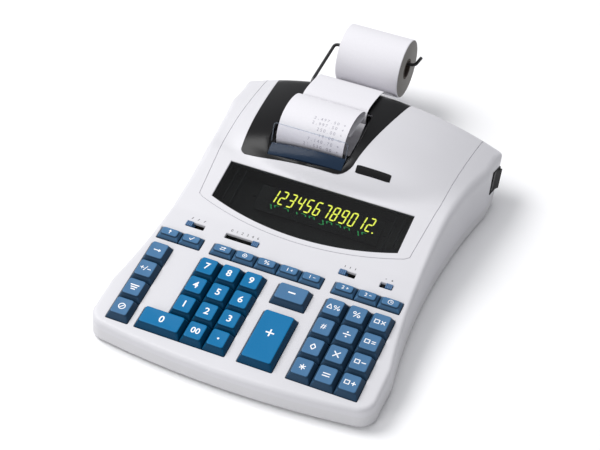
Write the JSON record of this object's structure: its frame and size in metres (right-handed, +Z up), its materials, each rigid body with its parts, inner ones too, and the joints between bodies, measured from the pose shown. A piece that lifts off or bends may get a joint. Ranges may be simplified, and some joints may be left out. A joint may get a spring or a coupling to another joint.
{
  "type": "desk calculator",
  "caption": "Printing desk calculator: wedge case, digital display, blue keypad, slide switches, paper roll on a wire holder feeding a printer with a tear-off window.",
  "frame": {"origin": "middle of the overall footprint, on the desk surface under the rubber feet", "axes": "+Z up; +Y from the front edge of the case to the paper roll; +X to the right of a person using it"},
  "size_m": [0.234, 0.3902, 0.0831],
  "materials": {
    "case_top": "fine satin moulded texture, pale grey-white",
    "case_base": "fine satin moulded texture, a little darker than the top",
    "foot_rubber": "plain",
    "screw_steel": "zinc plated",
    "display_glass": "smoked acrylic, glossy",
    "display_tube": "dark glass with a phosphor face",
    "board": "green board with dark components",
    "key_mat": "moulded silicone",
    "mechanism": "dark filled plastic",
    "platen": "fine matt rubber",
    "cover_black": "glossy black",
    "tear_blue": "clear blue-tinted acrylic",
    "paper": "white bond paper",
    "holder_wire": "black coated steel wire",
    "rocker_black": "satin black",
    "slide_blue": "satin blue",
    "key_bright": "satin bright blue, white legends",
    "key_slate": "satin grey-blue, white legends"
  },
  "bodies": {
    "root": {"base_shell": "case_base", "top_shell": "case_top", "rubber_feet": "foot_rubber", "case_screws": "screw_steel", "display_window": "display_glass", "display_tube": "display_tube", "circuit_board": "board", "key_mat": "key_mat", "printer_frame": "mechanism", "printer_cover": "cover_black", "tear_window": "tear_blue", "paper_strip": "paper", "roll_holder": "holder_wire"},
    "roll": {"paper_roll": "paper"},
    "platen": {"platen_roller": "platen"},
    "power_rocker": {"power_rocker": "rocker_black"},
    "slide_print": {"slide_print": "slide_blue"},
    "slide_decimal": {"slide_decimal": "slide_blue"},
    "slide_round": {"slide_round": "slide_blue"},
    "slide_rate": {"slide_rate": "slide_blue"},
    "key_1": {"key_1": "key_bright"},
    "key_2": {"key_2": "key_bright"},
    "key_3": {"key_3": "key_bright"},
    "key_4": {"key_4": "key_bright"},
    "key_5": {"key_5": "key_bright"},
    "key_6": {"key_6": "key_bright"},
    "key_7": {"key_7": "key_bright"},
    "key_8": {"key_8": "key_bright"},
    "key_9": {"key_9": "key_bright"},
    "key_0": {"key_0": "key_bright"},
    "key_00": {"key_00": "key_bright"},
    "key_point": {"key_point": "key_bright"},
    "key_plus": {"key_plus": "key_bright"},
    "key_minus": {"key_minus": "key_slate"},
    "key_clear": {"key_clear": "key_slate"},
    "key_margin": {"key_margin": "key_slate"},
    "key_sign": {"key_sign": "key_slate"},
    "key_shift": {"key_shift": "key_slate"},
    "key_feed": {"key_feed": "key_slate"},
    "key_tick": {"key_tick": "key_slate"},
    "key_exchange": {"key_exchange": "key_slate"},
    "key_local": {"key_local": "key_slate"},
    "key_rate": {"key_rate": "key_slate"},
    "key_tax1_plus": {"key_tax1_plus": "key_slate"},
    "key_tax1_minus": {"key_tax1_minus": "key_slate"},
    "key_tax2_plus": {"key_tax2_plus": "key_slate"},
    "key_tax2_minus": {"key_tax2_minus": "key_slate"},
    "key_time": {"key_time": "key_slate"},
    "key_delta": {"key_delta": "key_slate"},
    "key_percent": {"key_percent": "key_slate"},
    "key_memory_clear": {"key_memory_clear": "key_slate"},
    "key_date": {"key_date": "key_slate"},
    "key_divide": {"key_divide": "key_slate"},
    "key_memory_recall": {"key_memory_recall": "key_slate"},
    "key_subtotal": {"key_subtotal": "key_slate"},
    "key_multiply": {"key_multiply": "key_slate"},
    "key_memory_minus": {"key_memory_minus": "key_slate"},
    "key_total": {"key_total": "key_slate"},
    "key_equals": {"key_equals": "key_slate"},
    "key_memory_plus": {"key_memory_plus": "key_slate"}
  },
  "joints": [
    {"name": "roll_spin", "type": "hinge", "parent": "root", "child": "roll", "pos_m": [-0.022, 0.1694, 0.049], "axis": [1, 0, 0], "continuous": true},
    {"name": "platen_spin", "type": "hinge", "parent": "root", "child": "platen", "pos_m": [-0.022, 0.0259, 0.05], "axis": [1, 0, 0], "continuous": true},
    {"name": "power_rocker_tilt", "type": "hinge", "parent": "root", "child": "power_rocker", "pos_m": [0.1128, 0.0864, 0.026], "axis": [0, 0.342, 0.9397], "range_deg": [0, 16]},
    {"name": "slide_print_move", "type": "slide", "parent": "root", "child": "slide_print", "axis": [1, 0, 0], "range_m": [0, 0.0098]},
    {"name": "slide_decimal_move", "type": "slide", "parent": "root", "child": "slide_decimal", "axis": [1, 0, 0], "range_m": [-0.0224, 0]},
    {"name": "slide_round_move", "type": "slide", "parent": "root", "child": "slide_round", "axis": [1, 0, 0], "range_m": [0, 0.0076]},
    {"name": "slide_rate_move", "type": "slide", "parent": "root", "child": "slide_rate", "axis": [1, 0, 0], "range_m": [-0.0044, 0]},
    {"name": "key_1_press", "type": "slide", "parent": "root", "child": "key_1", "axis": [0, 0.1333, -0.9911], "range_m": [0, 0.003], "stiffness_N_per_m": 180, "springref_m": -0.0022},
    {"name": "key_2_press", "type": "slide", "parent": "root", "child": "key_2", "axis": [0, 0.1333, -0.9911], "range_m": [0, 0.003], "stiffness_N_per_m": 180, "springref_m": -0.0022},
    {"name": "key_3_press", "type": "slide", "parent": "root", "child": "key_3", "axis": [0, 0.1333, -0.9911], "range_m": [0, 0.003], "stiffness_N_per_m": 180, "springref_m": -0.0022},
    {"name": "key_4_press", "type": "slide", "parent": "root", "child": "key_4", "axis": [0, 0.1333, -0.9911], "range_m": [0, 0.003], "stiffness_N_per_m": 180, "springref_m": -0.0022},
    {"name": "key_5_press", "type": "slide", "parent": "root", "child": "key_5", "axis": [0, 0.1333, -0.9911], "range_m": [0, 0.003], "stiffness_N_per_m": 180, "springref_m": -0.0022},
    {"name": "key_6_press", "type": "slide", "parent": "root", "child": "key_6", "axis": [0, 0.1333, -0.9911], "range_m": [0, 0.003], "stiffness_N_per_m": 180, "springref_m": -0.0022},
    {"name": "key_7_press", "type": "slide", "parent": "root", "child": "key_7", "axis": [0, 0.1333, -0.9911], "range_m": [0, 0.003], "stiffness_N_per_m": 180, "springref_m": -0.0022},
    {"name": "key_8_press", "type": "slide", "parent": "root", "child": "key_8", "axis": [0, 0.1333, -0.9911], "range_m": [0, 0.003], "stiffness_N_per_m": 180, "springref_m": -0.0022},
    {"name": "key_9_press", "type": "slide", "parent": "root", "child": "key_9", "axis": [0, 0.1333, -0.9911], "range_m": [0, 0.003], "stiffness_N_per_m": 180, "springref_m": -0.0022},
    {"name": "key_0_press", "type": "slide", "parent": "root", "child": "key_0", "axis": [0, 0.1333, -0.9911], "range_m": [0, 0.003], "stiffness_N_per_m": 180, "springref_m": -0.0022},
    {"name": "key_00_press", "type": "slide", "parent": "root", "child": "key_00", "axis": [0, 0.1333, -0.9911], "range_m": [0, 0.003], "stiffness_N_per_m": 180, "springref_m": -0.0022},
    {"name": "key_point_press", "type": "slide", "parent": "root", "child": "key_point", "axis": [0, 0.1333, -0.9911], "range_m": [0, 0.003], "stiffness_N_per_m": 180, "springref_m": -0.0022},
    {"name": "key_plus_press", "type": "slide", "parent": "root", "child": "key_plus", "axis": [0, 0.1333, -0.9911], "range_m": [0, 0.003], "stiffness_N_per_m": 180, "springref_m": -0.0022},
    {"name": "key_minus_press", "type": "slide", "parent": "root", "child": "key_minus", "axis": [0, 0.1333, -0.9911], "range_m": [0, 0.003], "stiffness_N_per_m": 180, "springref_m": -0.0022},
    {"name": "key_clear_press", "type": "slide", "parent": "root", "child": "key_clear", "axis": [0, 0.1333, -0.9911], "range_m": [0, 0.003], "stiffness_N_per_m": 180, "springref_m": -0.0022},
    {"name": "key_margin_press", "type": "slide", "parent": "root", "child": "key_margin", "axis": [0, 0.1333, -0.9911], "range_m": [0, 0.003], "stiffness_N_per_m": 180, "springref_m": -0.0022},
    {"name": "key_sign_press", "type": "slide", "parent": "root", "child": "key_sign", "axis": [0, 0.1333, -0.9911], "range_m": [0, 0.003], "stiffness_N_per_m": 180, "springref_m": -0.0022},
    {"name": "key_shift_press", "type": "slide", "parent": "root", "child": "key_shift", "axis": [0, 0.1333, -0.9911], "range_m": [0, 0.003], "stiffness_N_per_m": 180, "springref_m": -0.0022},
    {"name": "key_feed_press", "type": "slide", "parent": "root", "child": "key_feed", "axis": [0, 0.1333, -0.9911], "range_m": [0, 0.003], "stiffness_N_per_m": 180, "springref_m": -0.0022},
    {"name": "key_tick_press", "type": "slide", "parent": "root", "child": "key_tick", "axis": [0, 0.1333, -0.9911], "range_m": [0, 0.003], "stiffness_N_per_m": 180, "springref_m": -0.0022},
    {"name": "key_exchange_press", "type": "slide", "parent": "root", "child": "key_exchange", "axis": [0, 0.1333, -0.9911], "range_m": [0, 0.003], "stiffness_N_per_m": 180, "springref_m": -0.0022},
    {"name": "key_local_press", "type": "slide", "parent": "root", "child": "key_local", "axis": [0, 0.1333, -0.9911], "range_m": [0, 0.003], "stiffness_N_per_m": 180, "springref_m": -0.0022},
    {"name": "key_rate_press", "type": "slide", "parent": "root", "child": "key_rate", "axis": [0, 0.1333, -0.9911], "range_m": [0, 0.003], "stiffness_N_per_m": 180, "springref_m": -0.0022},
    {"name": "key_tax1_plus_press", "type": "slide", "parent": "root", "child": "key_tax1_plus", "axis": [0, 0.1333, -0.9911], "range_m": [0, 0.003], "stiffness_N_per_m": 180, "springref_m": -0.0022},
    {"name": "key_tax1_minus_press", "type": "slide", "parent": "root", "child": "key_tax1_minus", "axis": [0, 0.1333, -0.9911], "range_m": [0, 0.003], "stiffness_N_per_m": 180, "springref_m": -0.0022},
    {"name": "key_tax2_plus_press", "type": "slide", "parent": "root", "child": "key_tax2_plus", "axis": [0, 0.1333, -0.9911], "range_m": [0, 0.003], "stiffness_N_per_m": 180, "springref_m": -0.0022},
    {"name": "key_tax2_minus_press", "type": "slide", "parent": "root", "child": "key_tax2_minus", "axis": [0, 0.1333, -0.9911], "range_m": [0, 0.003], "stiffness_N_per_m": 180, "springref_m": -0.0022},
    {"name": "key_time_press", "type": "slide", "parent": "root", "child": "key_time", "axis": [0, 0.1333, -0.9911], "range_m": [0, 0.003], "stiffness_N_per_m": 180, "springref_m": -0.0022},
    {"name": "key_delta_press", "type": "slide", "parent": "root", "child": "key_delta", "axis": [0, 0.1333, -0.9911], "range_m": [0, 0.003], "stiffness_N_per_m": 180, "springref_m": -0.0022},
    {"name": "key_percent_press", "type": "slide", "parent": "root", "child": "key_percent", "axis": [0, 0.1333, -0.9911], "range_m": [0, 0.003], "stiffness_N_per_m": 180, "springref_m": -0.0022},
    {"name": "key_memory_clear_press", "type": "slide", "parent": "root", "child": "key_memory_clear", "axis": [0, 0.1333, -0.9911], "range_m": [0, 0.003], "stiffness_N_per_m": 180, "springref_m": -0.0022},
    {"name": "key_date_press", "type": "slide", "parent": "root", "child": "key_date", "axis": [0, 0.1333, -0.9911], "range_m": [0, 0.003], "stiffness_N_per_m": 180, "springref_m": -0.0022},
    {"name": "key_divide_press", "type": "slide", "parent": "root", "child": "key_divide", "axis": [0, 0.1333, -0.9911], "range_m": [0, 0.003], "stiffness_N_per_m": 180, "springref_m": -0.0022},
    {"name": "key_memory_recall_press", "type": "slide", "parent": "root", "child": "key_memory_recall", "axis": [0, 0.1333, -0.9911], "range_m": [0, 0.003], "stiffness_N_per_m": 180, "springref_m": -0.0022},
    {"name": "key_subtotal_press", "type": "slide", "parent": "root", "child": "key_subtotal", "axis": [0, 0.1333, -0.9911], "range_m": [0, 0.003], "stiffness_N_per_m": 180, "springref_m": -0.0022},
    {"name": "key_multiply_press", "type": "slide", "parent": "root", "child": "key_multiply", "axis": [0, 0.1333, -0.9911], "range_m": [0, 0.003], "stiffness_N_per_m": 180, "springref_m": -0.0022},
    {"name": "key_memory_minus_press", "type": "slide", "parent": "root", "child": "key_memory_minus", "axis": [0, 0.1333, -0.9911], "range_m": [0, 0.003], "stiffness_N_per_m": 180, "springref_m": -0.0022},
    {"name": "key_total_press", "type": "slide", "parent": "root", "child": "key_total", "axis": [0, 0.1333, -0.9911], "range_m": [0, 0.003], "stiffness_N_per_m": 180, "springref_m": -0.0022},
    {"name": "key_equals_press", "type": "slide", "parent": "root", "child": "key_equals", "axis": [0, 0.1333, -0.9911], "range_m": [0, 0.003], "stiffness_N_per_m": 180, "springref_m": -0.0022},
    {"name": "key_memory_plus_press", "type": "slide", "parent": "root", "child": "key_memory_plus", "axis": [0, 0.1333, -0.9911], "range_m": [0, 0.003], "stiffness_N_per_m": 180, "springref_m": -0.0022}
  ],
  "couplings": [
    {"joint": "platen_spin", "follows": "roll_spin", "ratio": 3.6714}
  ]
}
